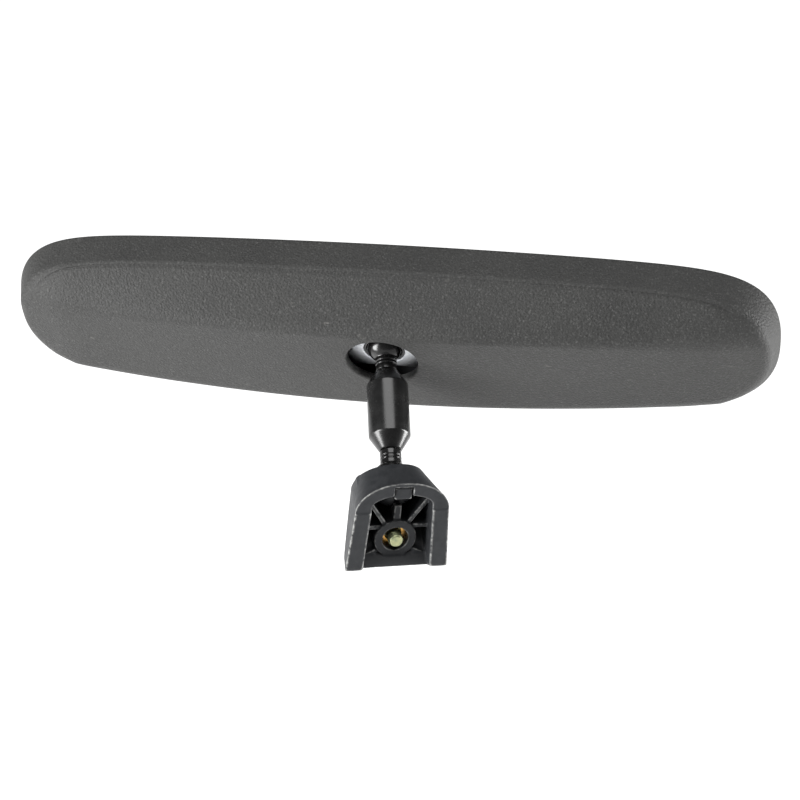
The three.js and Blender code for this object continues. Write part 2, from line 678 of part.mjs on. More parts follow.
const headSocket = new THREE.Group();
headSocket.rotation.x = -(Math.PI / 2 + HOLE_TILT);
head.add(headSocket);
add(headSocket, 'upper_liner_outer', linerOuter(), linerPlastic);
add(headSocket, 'upper_liner_inner', linerInner(), linerPlastic);
add(headSocket, 'socket_bracket', socketBracket(), steel);
add(headSocket, 'socket_cup', socketCup(), steel);
[-1, 1].forEach((side, i) => {
  const clampX = side * CLAMP_SCREW_X;
  const bracketX = side * BRACKET_SCREW_X;
  add(headSocket, `clamp_screw_${i + 1}`, screw(CLAMP_SCREW), steel).position.x = clampX;
  add(headSocket, `clamp_spring_${i + 1}`, clampSpring(), steel).position.x = clampX;
  add(headSocket, `bracket_screw_${i + 1}`, screw(BRACKET_SCREW), steel).position.x = bracketX;
});

export default mirror;
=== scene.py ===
"""Looks for an interior rearview mirror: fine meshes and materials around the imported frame.

Shapes are worked out in millimetres in the frame of their sub-assembly and placed in metres.
"""
import json
import math

import bpy
import numpy as np
from mathutils import Euler, Matrix, Vector


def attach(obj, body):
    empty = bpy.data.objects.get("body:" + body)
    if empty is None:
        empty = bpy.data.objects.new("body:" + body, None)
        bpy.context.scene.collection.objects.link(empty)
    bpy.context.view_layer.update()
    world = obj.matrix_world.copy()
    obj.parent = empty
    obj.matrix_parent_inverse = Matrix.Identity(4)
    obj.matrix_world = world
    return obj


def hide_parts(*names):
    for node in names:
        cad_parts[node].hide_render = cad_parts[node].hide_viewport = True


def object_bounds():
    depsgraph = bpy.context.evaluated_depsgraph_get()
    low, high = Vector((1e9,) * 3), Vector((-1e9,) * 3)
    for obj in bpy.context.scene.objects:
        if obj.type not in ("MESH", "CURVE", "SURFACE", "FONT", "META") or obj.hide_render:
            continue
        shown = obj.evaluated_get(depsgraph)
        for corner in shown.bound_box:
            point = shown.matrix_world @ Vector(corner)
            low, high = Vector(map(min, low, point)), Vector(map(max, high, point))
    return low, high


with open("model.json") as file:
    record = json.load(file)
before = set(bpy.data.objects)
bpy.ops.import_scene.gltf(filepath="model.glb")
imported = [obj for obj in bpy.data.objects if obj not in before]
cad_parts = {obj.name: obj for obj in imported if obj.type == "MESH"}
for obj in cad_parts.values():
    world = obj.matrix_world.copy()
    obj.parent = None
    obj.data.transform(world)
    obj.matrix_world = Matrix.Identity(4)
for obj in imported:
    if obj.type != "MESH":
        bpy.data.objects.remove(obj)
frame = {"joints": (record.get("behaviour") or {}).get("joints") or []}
cad_low, cad_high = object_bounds()

MM = 0.001

# ---- driving dimensions, in millimetres and degrees ----------------------------------------------
GAP = 0.3
HEAD_LENGTH, HEAD_HEIGHT = 250.0, 58.4
OUTLINE_POWERS = (11.2, 2.44)
EDGE_BOW, CORNER_CUT, CORNER_CUT_POWER = 3.3, 3.25, 8
RIM_DEPTH, RIM_TAPER, RIM_TAPER_END = 12.9, 2.6, 3.4
BULGE_END = 106.8
LOWER_EDGE = {"z": -26.9, "y": 10.3, "z_end": -19.9, "y_end": 7.5}
CREST = {"z": 10.7, "y": 26.7, "z_end": 9.1, "y_end": 17.0}
END_FALL, CORNER_RISE = 0.22, 0.4
WALL = 2.4
LIP_WIDTH, LIP_DEPTH = 5.2, 1.2
LEDGE_INSET, LEDGE_DEPTH = 5.6, 6.2
POCKET_INSET = 3.8
GLASS_THICK, SILVER_THICK, FILM_THICK = 2.2, 0.25, 0.4
GASKET_THICK, GASKET_WIDTH = 0.7, 5.0
COATING_INSET = 0.6
HOLE_RADIUS, HOLE_TILT, HOLE_HEIGHT = 11.5, 23.65, 7.2
BALL_IN_HEAD = (0.0, 14.11, -0.19)

BALL_RADIUS = 6.2
LINER_RADII = (6.4, 6.8)
LINER_SPLIT = (-2.0, 0.4)
SOCKET_RADIUS, MOUTH_HEIGHT, CUP_RADIUS = 7.0, 2.4, 8.1
ARM_LENGTH = 47.0
NECK_RADIUS, NECK_END = 3.4, 9.6
GROOVE_PLACES, GROOVE_DEPTH, GROOVE_SLOPE, GROOVE_WIDTH = (6.3, 7.4), 0.2, 0.15, 0.6
SHANK_RADIUS, SHANK_END = 2.6, 20.0
SLEEVE_RADIUS, SLEEVE_TIP_RADIUS, SLEEVE_TAPER = 6.65, 3.6, 4.8

BASE_BOTTOM, BASE_TOP, BASE_SHOULDER = -8.4, 22.9, 13.0
BASE_HALF = (16.5, 15.0)
DRAFT_HALF, DRAFT_SHOULDER = 0.18, 0.25
POCKET_HALF, POCKET_SHOULDER, POCKET_TOP = (10.7, 9.6), 14.5, 18.4
SOCKET_PITCH = 36.0
HUB_FRONT, HUB_RADIUS, HUB_BORE, HUB_FLOOR, COUNTERBORE = -4.5, 6.7, 4.1, -7.6, 5.4
RIB_FRONT, RIB_THICK = -5.0, 1.3
# the ribs' centre lines as (x, z) of both ends; the side ribs are mirrored
RIB_END = POCKET_HALF[1] + 1
RIB_LINES = (((3.5, 4.2), (RIB_END, 4.2)), ((3.5, 5), (RIB_END, 15.5)),
             ((4, -3.5), (RIB_END, -7)))
CENTRE_RIB, CENTRE_RIB_THICK = ((0, 5), (0, 12)), 2.3
KEY_HALF = 2.7
KEY_FINGER_Y, KEY_FINGER_Z = (-9.5, -0.8), (16.8, 21)
KEY_NOTCH_Y, KEY_NOTCH_Z = (-10, 1), (14, 21.4)
# reaches run along the mouth's plane from the ball; the floor is (y, z) of both ends
HOOD_REACH, BOTTOM_THICK = 10, 8.5
POCKET_REACH, POCKET_FLOOR = (-8.5, 5.5), ((1.06, -9.54), (-7, -4.6))
CUT_PAST = 1    # cuts run on this far past the face they open

CLAMP_SCREW_X, BRACKET_SCREW_X = 12.5, 20.5
THREAD_HOLE, CLAMP_HOLE, FLANGE_HOLE = 1.7, 1.8, 1.9    # radii
BOSS_LOW, BOSS_RADII, BOSS_SETBACK = 2.7, (3.4, 3.6), 1.2
BRACKET_HALF_LENGTH, BRACKET_HALF_WIDTH, BRACKET_LOW = 25, 9, 0.2
FLANGE_HALF_LENGTH, FLANGE_HALF_WIDTH, FLANGE_LOW, FLANGE_HIGH = 17, 7, -1.9, -0.1
WASHER_RADIUS, WASHER_THICK = 5.0, 1.0
# screws: radius, thread pitch, head radius, head thickness, seat of the head, tip
MOUNT_SCREW = (2.4, 0.9, 4.4, 2.8, HUB_FLOOR - GAP - WASHER_THICK - GAP, -3.0)
CLAMP_SCREW = (1.5, 0.7, 3.0, 1.8, -6.0, 2.2)
BRACKET_SCREW = (1.4, 0.7, 2.8, 1.7, -0.1, 4.4)
# spring: coil radius, wire radius, lower end, upper end, turns
CLAMP_SPRING = (2.5, 0.4, -5.7, -2.2, 3.5)

ARM_YAW = -6.5
HEAD_YAW, HEAD_PITCH, HEAD_ROLL = -22.35, -6.5, 6.4

# ---- places --------------------------------------------------------------------------------------
joint_at = {joint["name"]: Vector(joint["pos_m"]) for joint in frame["joints"]}
lower_ball, upper_ball = joint_at["arm_tilt"], joint_at["head_tilt"]


def turn(degrees, axis):
    return Matrix.Rotation(math.radians(degrees), 4, axis)


ROW = Matrix.Identity(4)
BASE_SOCKET = Matrix.Translation(lower_ball) @ turn(90 - SOCKET_PITCH, "X")
ARM = Matrix.Translation(lower_ball) @ turn(ARM_YAW, "Z") @ turn(90 - SOCKET_PITCH, "X")
HEAD = (Matrix.Translation(upper_ball) @ turn(HEAD_YAW, "Z") @ turn(HEAD_PITCH, "X")
        @ turn(HEAD_ROLL, "Y"))
FRONT = HEAD @ Matrix.Translation(-MM * Vector(BALL_IN_HEAD))
HEAD_SOCKET = HEAD @ turn(-(90 + HOLE_TILT), "X")


# ---- meshes --------------------------------------------------------------------------------------
def piece(name, points, faces, place, body, nodes, slot, finish, sharp=50):
    """A new piece from points in millimetres in the frame place, standing for CAD nodes."""
    mesh = bpy.data.meshes.new(name)
    mesh.from_pydata((np.asarray(points, float) * MM).tolist(), [], faces)
    mesh.validate()
    mesh.transform(place)
    mesh.polygons.foreach_set("use_smooth", [True] * len(mesh.polygons))
    mesh.update()
    mesh.set_sharp_from_angle(angle=math.radians(sharp))
    mesh.materials.append(finish)
    obj = bpy.data.objects.new(name, mesh)
    bpy.context.scene.collection.objects.link(obj)
    face_out(obj)
    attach(obj, body)
    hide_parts(*nodes)
    return obj


def face_out(obj):
    """Turns the faces round if the closed mesh has its faces pointing in."""
    mesh = obj.data
    mesh.calc_loop_triangles()
    co = np.array([v.co for v in mesh.vertices], float)
    tri = np.array([t.vertices for t in mesh.loop_triangles])
    a, b, c = co[tri[:, 0]], co[tri[:, 1]], co[tri[:, 2]]
    if np.einsum("ij,ij->i", a, np.cross(b, c)).sum() < 0:
        mesh.flip_normals()


def joined(*parts):
    """Several (points, faces) meshes as one."""
    points, faces, start = [], [], 0
    for part_points, part_faces in parts:
        points.append(np.asarray(part_points, float))
        faces += [tuple(i + start for i in face) for face in part_faces]
        start += len(part_points)
    return np.concatenate(points), faces


def grid_mesh(rows, wrap_rows=False, cap=False):
    """Closed rows of points, each as long as the others, joined by quads."""
    rows = np.asarray(rows, float)
    count, columns = rows.shape[:2]
    index = np.arange(count * columns).reshape(count, columns)
    right = np.roll(index, -1, axis=1)
    last = count if wrap_rows else count - 1
    faces = []
    for r in range(last):
        up = (r + 1) % count
        faces += list(zip(index[r], right[r], right[up], index[up]))
    faces = [tuple(int(i) for i in face) for face in faces]
    points = rows.reshape(-1, 3)
    if cap:
        faces.append(tuple(int(i) for i in index[0][::-1]))
        faces.append(tuple(int(i) for i in index[-1]))
    return points, faces


def rounded(profile, steps=4):
    """A [radius, height, rounding] profile with each corner cut by a curve of that size."""
    points = [np.array(p[:2], float) for p in profile]
    out = []
    for i, (here, item) in enumerate(zip(points, profile)):
        size = item[2] if len(item) > 2 else 0.0
        if size <= 0 or i in (0, len(points) - 1):
            out.append(here)
            continue
        before, after = points[i - 1] - here, points[i + 1] - here
        start = here + before * min(0.5, size / np.linalg.norm(before))
        end = here + after * min(0.5, size / np.linalg.norm(after))
        for k in range(steps + 1):
            t = k / steps
            out.append((1 - t) ** 2 * start + 2 * t * (1 - t) * here + t * t * end)
    return out


def lathe(profile, sides=96, closed=False):
    """A turned piece about Z from [radius, height] points. A closed one is a ring."""
    angles = np.linspace(0, 2 * np.pi, sides, endpoint=False)
    rows = [np.stack([max(r, 0.004) * np.cos(angles), max(r, 0.004) * np.sin(angles),
                      np.full(sides, z)], axis=1) for r, z in profile]
    return grid_mesh(rows, wrap_rows=closed, cap=not closed)


def arc(radius, low, high, steps):
    """[radius, height] points along a circle about the origin between two heights."""
    start, end = (math.asin(max(-1.0, min(1.0, z / radius))) for z in (low, high))
    angles = [start + (end - start) * k / steps for k in range(steps + 1)]
    return [(max(0.0, radius * math.cos(a)), radius * math.sin(a)) for a in angles]


def shifted(mesh, offset):
    return np.asarray(mesh[0]) + np.array(offset, float), mesh[1]


# ---- solids from distance fields -----------------------------------------------------------------
def most(a, b, blend=0.0):
    """The larger of two fields, with the edge between them rounded over about blend."""
    if blend <= 0:
        return np.maximum(a, b)
    h = np.maximum(blend - np.abs(a - b), 0) / blend
    return np.maximum(a, b) + h * h * blend / 4


def least(a, b, blend=0.0):
    return -most(-a, -b, blend)


def slab(v, low, high):
    return np.maximum(low - v, v - high)


def convex(u, v, corners, blend=0.0):
    """Distance to a convex outline whose corners run clockwise."""
    field = None
    for (u0, v0), (u1, v1) in zip(corners, corners[1:] + corners[:1]):
        length = math.hypot(u1 - u0, v1 - v0)
        side = ((v0 - v1) * (u - u0) + (u1 - u0) * (v - v0)) / length
        field = side if field is None else most(field, side, blend)
    return field


def arch(x, z, halves, bottom, shoulder, top):
    """Distance to an arched outline: straight sides, then half an ellipse."""
    low_half, high_half = halves
    slope = (high_half - low_half) / (shoulder - bottom)
    side = np.abs(x) - (low_half + slope * (z - bottom))
    rise = top - shoulder
    p, q = x / high_half, (z - shoulder) / rise
    h = np.sqrt(p * p + q * q) + 1e-9
    g = np.sqrt((p / high_half) ** 2 + (q / rise) ** 2) + 1e-9
    return np.where(z > shoulder, h * (h - 1) / g, side)


def box_field(x, y, z, low, high, blend=0.0):
    return most(most(slab(x, low[0], high[0]), slab(y, low[1], high[1]), blend),
                slab(z, low[2], high[2]), blend)


def surface_points(field, points, step):
    """Moves points onto the zero surface along its slope."""
    for _ in range(4):
        nudge = step * 0.1
        value = field(*points.T)
        slope = np.stack([
            (field(*(points + nudge * axis).T) - field(*(points - nudge * axis).T)) / (2 * nudge)
            for axis in np.eye(3)], axis=1)
        move = value / np.maximum((slope ** 2).sum(axis=1), 0.05)
        points = points - slope * np.clip(move, -step * 0.4, step * 0.4)[:, None]
    return points


def solid(field, low, high, step):
    """A closed quad mesh of the surface where field(x, y, z) is zero; it is negative inside."""
    axes = [np.arange(a - 1.5 * step, b + 1.5 * step, step) for a, b in zip(low, high)]
    values = field(*np.meshgrid(*axes, indexing="ij"))
    inside = values < 0
    cells = tuple(n - 1 for n in inside.shape)
    total = np.zeros(cells + (3,))
    count = np.zeros(cells, int)
    crossings = []
    for axis in range(3):
        near = [slice(None)] * 3
        far = [slice(None)] * 3
        near[axis], far[axis] = slice(None, -1), slice(1, None)
        a, b = values[tuple(near)], values[tuple(far)]
        crossed = inside[tuple(near)] != inside[tuple(far)]
        share = np.where(crossed, a / np.where(crossed, a - b, 1), 0)
        crossings.append((crossed, inside[tuple(near)]))
        others = [k for k in range(3) if k != axis]
        for shift in ((0, 0), (0, 1), (1, 0), (1, 1)):
            pick = [slice(None)] * 3
            for k, d in zip(others, shift):
                pick[k] = slice(d, cells[k] + d)
            hit = crossed[tuple(pick)]
            count += hit
            total[..., axis] += share[tuple(pick)]
            for k, d in zip(others, shift):
                total[..., k] += hit * d
    used = count > 0
    number = np.full(cells, -1)
    number[used] = np.arange(used.sum())
    corner = np.stack(np.meshgrid(*[a[:-1] for a in axes], indexing="ij"), axis=-1)
    points = corner[used] + step * total[used] / count[used][:, None]
    faces = []
    for axis, (crossed, starts_inside) in enumerate(crossings):
        u, v = [(1, 2), (2, 0), (0, 1)][axis]
        at = np.argwhere(crossed)
        at = at[(at[:, u] > 0) & (at[:, v] > 0) & (at[:, u] < cells[u]) & (at[:, v] < cells[v])]
        ring = []
        for du, dv in ((-1, -1), (0, -1), (0, 0), (-1, 0)):
            cell = at.copy()
            cell[:, u] += du
            cell[:, v] += dv
            ring.append(number[tuple(cell.T)])
        quads = np.stack(ring, axis=1)
        back = ~starts_inside[tuple(at.T)]
        quads[back] = quads[back][:, ::-1]
        faces.append(quads)
    return surface_points(field, points, step), np.concatenate(faces).tolist()


def mark_edges(obj, span_mm=0.35):
    """Stores how strongly each point stands out as an edge, for wear."""
    mesh = obj.data
    co = np.array([v.co for v in mesh.vertices], float) / MM
    normal = np.array([v.normal for v in mesh.vertices], float)
    edges = np.array([e.vertices for e in mesh.edges])
    total = np.zeros_like(co)
    count = np.zeros(len(co))
    for a, b in ((0, 1), (1, 0)):
        np.add.at(total, edges[:, a], co[edges[:, b]])
        np.add.at(count, edges[:, a], 1)
    pull = total / np.maximum(count, 1)[:, None] - co
    bend = -(pull * normal).sum(axis=1)
    for _ in range(3):
        spread = np.zeros_like(bend)
        for a, b in ((0, 1), (1, 0)):
            np.add.at(spread, edges[:, a], bend[edges[:, b]])
        bend = 0.5 * bend + 0.5 * spread / np.maximum(count, 1)
    value = np.clip(bend / (0.12 * span_mm), 0, 1)
    attribute = mesh.attributes.new("edge", "FLOAT", "POINT")
    attribute.data.foreach_set("value", value.astype(np.float32))


# ---- materials -----------------------------------------------------------------------------------
class Finish:
    """A Principled material with helpers for its pattern nodes."""

    def __init__(self, name, colour, roughness, metallic=0.0, **settings):
        self.material = bpy.data.materials.new(name)
        self.material.use_nodes = True
        self.tree = self.material.node_tree
        self.shader = self.tree.nodes["Principled BSDF"]
        self.set("Base Color", (*colour, 1.0))
        self.set("Roughness", roughness)
        self.set("Metallic", metallic)
        for socket, value in settings.items():
            self.set(socket.replace("_", " "), value)
        self.place = self.node("ShaderNodeTexCoord").outputs["Object"]

    def set(self, socket, value):
        self.shader.inputs[socket].default_value = value

    def node(self, kind, **inputs):
        made = self.tree.nodes.new(kind)
        for socket, value in inputs.items():
            made.inputs[socket.replace("_", " ")].default_value = value
        return made

    def join(self, source, target):
        self.tree.links.new(source, target)

    def noise(self, size_mm, detail=2.0, roughness=0.55, stretch=None, distortion=0.0):
        """Noise with features of about size_mm, from 0 to 1."""
        made = self.node("ShaderNodeTexNoise", Scale=1 / (size_mm * MM), Detail=detail,
                         Roughness=roughness, Distortion=distortion)
        place = self.place
        if stretch:
            mapping = self.node("ShaderNodeMapping", Scale=stretch)
            self.join(place, mapping.inputs["Vector"])
            place = mapping.outputs["Vector"]
        self.join(place, made.inputs["Vector"])
        return made.outputs["Fac"]

    def cells(self, size_mm):
        """Distance to the nearest of scattered points about size_mm apart."""
        made = self.node("ShaderNodeTexVoronoi", Scale=1 / (size_mm * MM))
        self.join(self.place, made.inputs["Vector"])
        return made.outputs["Distance"]

    def range(self, source, low, high, to_low=0.0, to_high=1.0):
        made = self.node("ShaderNodeMapRange", From_Min=low, From_Max=high, To_Min=to_low,
                         To_Max=to_high)
        self.join(source, made.inputs["Value"])
        return made.outputs["Result"]

    def math(self, operation, a, b):
        made = self.node("ShaderNodeMath")
        made.operation = operation
        for socket, value in zip(made.inputs, (a, b)):
            if isinstance(value, (int, float)):
                socket.default_value = value
            else:
                self.join(value, socket)
        return made.outputs["Value"]

    def blend(self, factor, first, second):
        """A colour between two, each a colour or a socket."""
        made = self.node("ShaderNodeMix")
        made.data_type = "RGBA"
        self.join(factor, made.inputs["Factor"])
        for socket, value in zip((made.inputs[6], made.inputs[7]), (first, second)):
            if isinstance(value, tuple):
                socket.default_value = (*value, 1.0)
            else:
                self.join(value, socket)
        return made.outputs[2]

    def colour(self, source):
        self.join(source, self.shader.inputs["Base Color"])

    def roughness(self, source):
        self.join(source, self.shader.inputs["Roughness"])

    def bump(self, *layers):
        """Bump from (height, strength, depth in millimetres) layers."""
        normal = None
        for height, strength, depth_mm in layers:
            made = self.node("ShaderNodeBump", Strength=strength, Distance=depth_mm * MM)
            self.join(height, made.inputs["Height"])
            if normal is not None:
                self.join(normal, made.inputs["Normal"])
            normal = made.outputs["Normal"]
        self.join(normal, self.shader.inputs["Normal"])

    def edge(self):
        made = self.node("ShaderNodeAttribute")
        made.attribute_name = "edge"
        return made.outputs["Fac"]


def grained_plastic():
    f = Finish("grained_plastic", (0.06, 0.06, 0.058), 0.62, Specular_IOR_Level=0.2)
    grain = f.noise(0.62, detail=2.5, roughness=0.6, distortion=0.6)
    pits = f.range(f.cells(0.8), 0.1, 0.75)
    broad = f.noise(26, detail=3)
    speck = f.range(f.cells(9), 0.035, 0.02)
    scuff = f.range(f.noise(3.2, detail=4, stretch=(0.12, 1, 1)), 0.7, 0.78)
    base = f.blend(f.range(broad, 0.3, 0.7), (0.025, 0.025, 0.0245), (0.032, 0.032, 0.031))
    # the grain's tone follows its own relief: lighter grain tops are a painted highlight, darker
    # grain hollows are painted shade
    base = f.blend(f.range(grain, 0.55, 0.75, 0, 0.8), base, (0.075, 0.075, 0.073))
    base = f.blend(f.range(grain, 0.45, 0.3, 0, 0.7), base, (0.015, 0.015, 0.014))
    base = f.blend(f.math("MULTIPLY", f.math("MAXIMUM", speck, scuff), 0.16), base,
                   (0.3, 0.29, 0.27))
    f.colour(base)
    f.roughness(f.range(f.math("ADD", grain, broad), 0.6, 1.4, 0.52, 0.74))
    f.bump((grain, 0.8, 0.22), (pits, 0.7, 0.15))
    return f.material


def base_plastic():
    f = Finish("base_plastic", (0.03, 0.031, 0.033), 0.5, Specular_IOR_Level=0.22)
    mottle = f.noise(2.6, detail=5, roughness=0.6)
    fine = f.noise(0.28, detail=2)
    broken = f.range(f.noise(1.5, detail=4), 0.35, 0.6)
    worn = f.math("MULTIPLY", f.range(f.edge(), 0.3, 0.9), broken)
    base = f.blend(f.range(mottle, 0.3, 0.75), (0.012, 0.013, 0.0145), (0.021, 0.022, 0.024))
    f.colour(f.blend(f.math("MULTIPLY", worn, 0.75), base, (0.3, 0.3, 0.29)))
    f.roughness(f.range(mottle, 0.3, 0.75, 0.42, 0.62))
    f.bump((fine, 0.25, 0.03), (mottle, 0.15, 0.05))
    return f.material


def liner_plastic():
    f = Finish("liner_plastic", (0.012, 0.012, 0.013), 0.4)
    mottle = f.noise(1.6, detail=3)
    f.colour(f.blend(f.range(mottle, 0.3, 0.7), (0.01, 0.01, 0.011), (0.017, 0.017, 0.018)))
    f.roughness(f.range(mottle, 0.3, 0.7, 0.34, 0.5))
    f.bump((f.noise(0.3), 0.15, 0.02))
    return f.material


def black_metal(name, roughness, tone):
    """Black paint on metal, with fine turning marks and dust."""
    f = Finish(name, (tone, tone, tone), roughness, Coat_Weight=0.1, Coat_Roughness=0.2,
               Specular_IOR_Level=0.35)
    peel = f.noise(0.9, detail=2)
    smear = f.noise(5, detail=4)
    speck = f.range(f.cells(2.6), 0.07, 0.03)
    base = f.blend(f.range(smear, 0.35, 0.7), (tone * 0.8,) * 3, (tone * 1.5,) * 3)
    f.colour(f.blend(f.math("MULTIPLY", speck, 0.25), base, (0.2, 0.2, 0.19)))
    f.roughness(f.range(smear, 0.3, 0.7, roughness * 0.85, roughness * 1.25))
    f.bump((peel, 0.12, 0.02))
    return f.material


def plated_metal(name, light, dark, roughness):
    """Plated steel or zinc with a clouded colour and fine drawing marks."""
    f = Finish(name, light, roughness, 1.0)
    cloud = f.noise(1.7, detail=4, roughness=0.65)
    drawn = f.noise(0.5, detail=3, stretch=(1, 1, 0.1))
    f.colour(f.blend(f.range(cloud, 0.35, 0.65), light, dark))
    f.roughness(f.range(cloud, 0.3, 0.7, roughness * 0.8, roughness * 1.35))
    f.bump((drawn, 0.15, 0.02))
    return f.material


def clear_glass():
    f = Finish("clear_glass", (0.93, 0.97, 0.96), 0.0, IOR=1.52, Transmission_Weight=1.0)
    f.roughness(f.range(f.noise(40, detail=3), 0.45, 0.8, 0.0, 0.035))
    return f.material


def silver():
    f = Finish("silver", (0.88, 0.9, 0.91), 0.02, 1.0)
    haze = f.noise(30, detail=3)
    f.colour(f.blend(f.range(haze, 0.4, 0.7), (0.9, 0.91, 0.92), (0.86, 0.88, 0.9)))
    f.roughness(f.range(haze, 0.4, 0.8, 0.012, 0.03))
    return f.material


def film():
    f = Finish("film", (0.02, 0.021, 0.023), 0.45)
    wave = f.noise(8, detail=3)
    f.colour(f.blend(f.range(wave, 0.3, 0.7), (0.016, 0.017, 0.019), (0.028, 0.029, 0.031)))
    f.roughness(f.range(wave, 0.3, 0.7, 0.38, 0.55))
    f.bump((wave, 0.2, 0.1))
    return f.material


def foam():
    f = Finish("foam", (0.025, 0.025, 0.025), 0.95)
    holes = f.cells(0.7)
    # the pores are painted darker than the foam between them: painted shade inside the pores
    f.colour(f.blend(f.range(holes, 0.05, 0.5), (0.008, 0.008, 0.008), (0.035, 0.035, 0.034)))
    f.roughness(f.range(holes, 0, 0.6, 1.0, 0.85))
    f.bump((holes, 0.8, 0.3))
    return f.material


# ---- head outline --------------------------------------------------------------------------------
def outline(angles, inset, inset_end=None):
    """[x, z] points of the head's outline, moved in by inset, or by another amount at the ends."""
    c, s = np.cos(angles), np.sin(angles)
    t = np.sign(c) * np.abs(c) ** (2 / OUTLINE_POWERS[0])
    h = np.sign(s) * np.abs(s) ** (2 / OUTLINE_POWERS[1])
    x = (HEAD_LENGTH / 2 - (inset if inset_end is None else inset_end)) * t
    z = (HEAD_HEIGHT / 2 - inset - EDGE_BOW * t * t) * h
    return np.stack([x, z + CORNER_CUT * np.abs(t) ** CORNER_CUT_POWER * np.maximum(-h, 0)], axis=1)


def even_angles(count):
    """Outline angles whose points lie an equal way apart, from the middle of the +X end."""
    quarter = np.concatenate([np.geomspace(1e-9, 0.3, 400), np.linspace(0.3, np.pi / 2 - 0.3, 400)])
    quarter = np.unique(np.concatenate([[0], quarter, np.pi / 2 - quarter, [np.pi / 2]]))
    fine = np.unique(np.concatenate([quarter + k * np.pi / 2 for k in range(4)]))
    points = outline(fine, 0)
    way = np.concatenate([[0], np.cumsum(np.hypot(*np.diff(points, axis=0).T))])
    return np.interp(np.linspace(0, way[-1], count, endpoint=False), way, fine)


HEAD_COLUMNS = 420
head_angles = even_angles(HEAD_COLUMNS)


EDGE_EASE = 0.3


def edge_at(edge, x):
    """[y, z] of a bulge edge at x; beyond its end it stays as at the end."""
    bow = least((x / BULGE_END) ** 2, 1.0, EDGE_EASE)
    y = edge["y"] + (edge["y_end"] - edge["y"]) * bow
    return y, edge["z"] + (edge["z_end"] - edge["z"]) * bow


def flat_ring(inset, y):
    """The outline moved in by inset as [x, y, z] points in one plane."""
    x, z = outline(head_angles, inset).T
    return np.stack([x, np.full_like(x, y), z], axis=1)


CREST_BLEND = 2.8
END_BLEND = 5.0


def beyond_bulge(x, blend=0.0):
    """How far x lies past the bulge's end, eased in over blend."""
    return most(np.abs(x) - BULGE_END, 0.0, blend)


def back_depth(x, z):
    """Depth of the head's back surface over the plane of its front."""
    low_y, low_z = edge_at(LOWER_EDGE, x)
    high_y, high_z = edge_at(CREST, x)
    face = low_y + (high_y - low_y) * (z - low_z) / (high_z - low_z)
    rim_z = HEAD_HEIGHT / 2 - RIM_TAPER - EDGE_BOW * (2 * x / HEAD_LENGTH) ** 2
    slope = high_y + (RIM_DEPTH - high_y) * (z - high_z) / (rim_z - high_z)
    return least(face, slope, CREST_BLEND) - END_FALL * beyond_bulge(x, END_BLEND)


def rim_end():
    """[x, y, z] of the back edge of the rim band for each column."""
    _, height = outline(head_angles, 0).T
    down = fade(-height, 12, 26)
    x, z = outline(head_angles, RIM_TAPER - 0.9 * down, RIM_TAPER_END).T
    _, low_z = edge_at(LOWER_EDGE, x)
    z = np.where(z < 0, most(z, low_z + CORNER_RISE * beyond_bulge(x), 0.5), z)
    y = least(np.full_like(x, RIM_DEPTH), back_depth(x, z), 0.5)
    return np.stack([x, y, z], axis=1)


def fade(value, low, high):
    t = np.clip((value - low) / (high - low), 0, 1)
    return t * t * (3 - 2 * t)


FRONT_ROUND = 1.3        # rounding of the front edge
RIM_ROUND, STEP_ROUND = 2.4, 0.65    # of the rim's back edge below, and along the step on top
STEP_GROOVE, STEP_GROOVE_WIDTH = 0.55, 0.42
STEP_Z, STEP_X = (4, 17), (103, 121)    # where the step fades in upwards and out to the ends
NEAR_RIM = 5.0           # fine rows run this far in from the rim
HOLE_LIP = 0.9           # rounding of the hole's edge


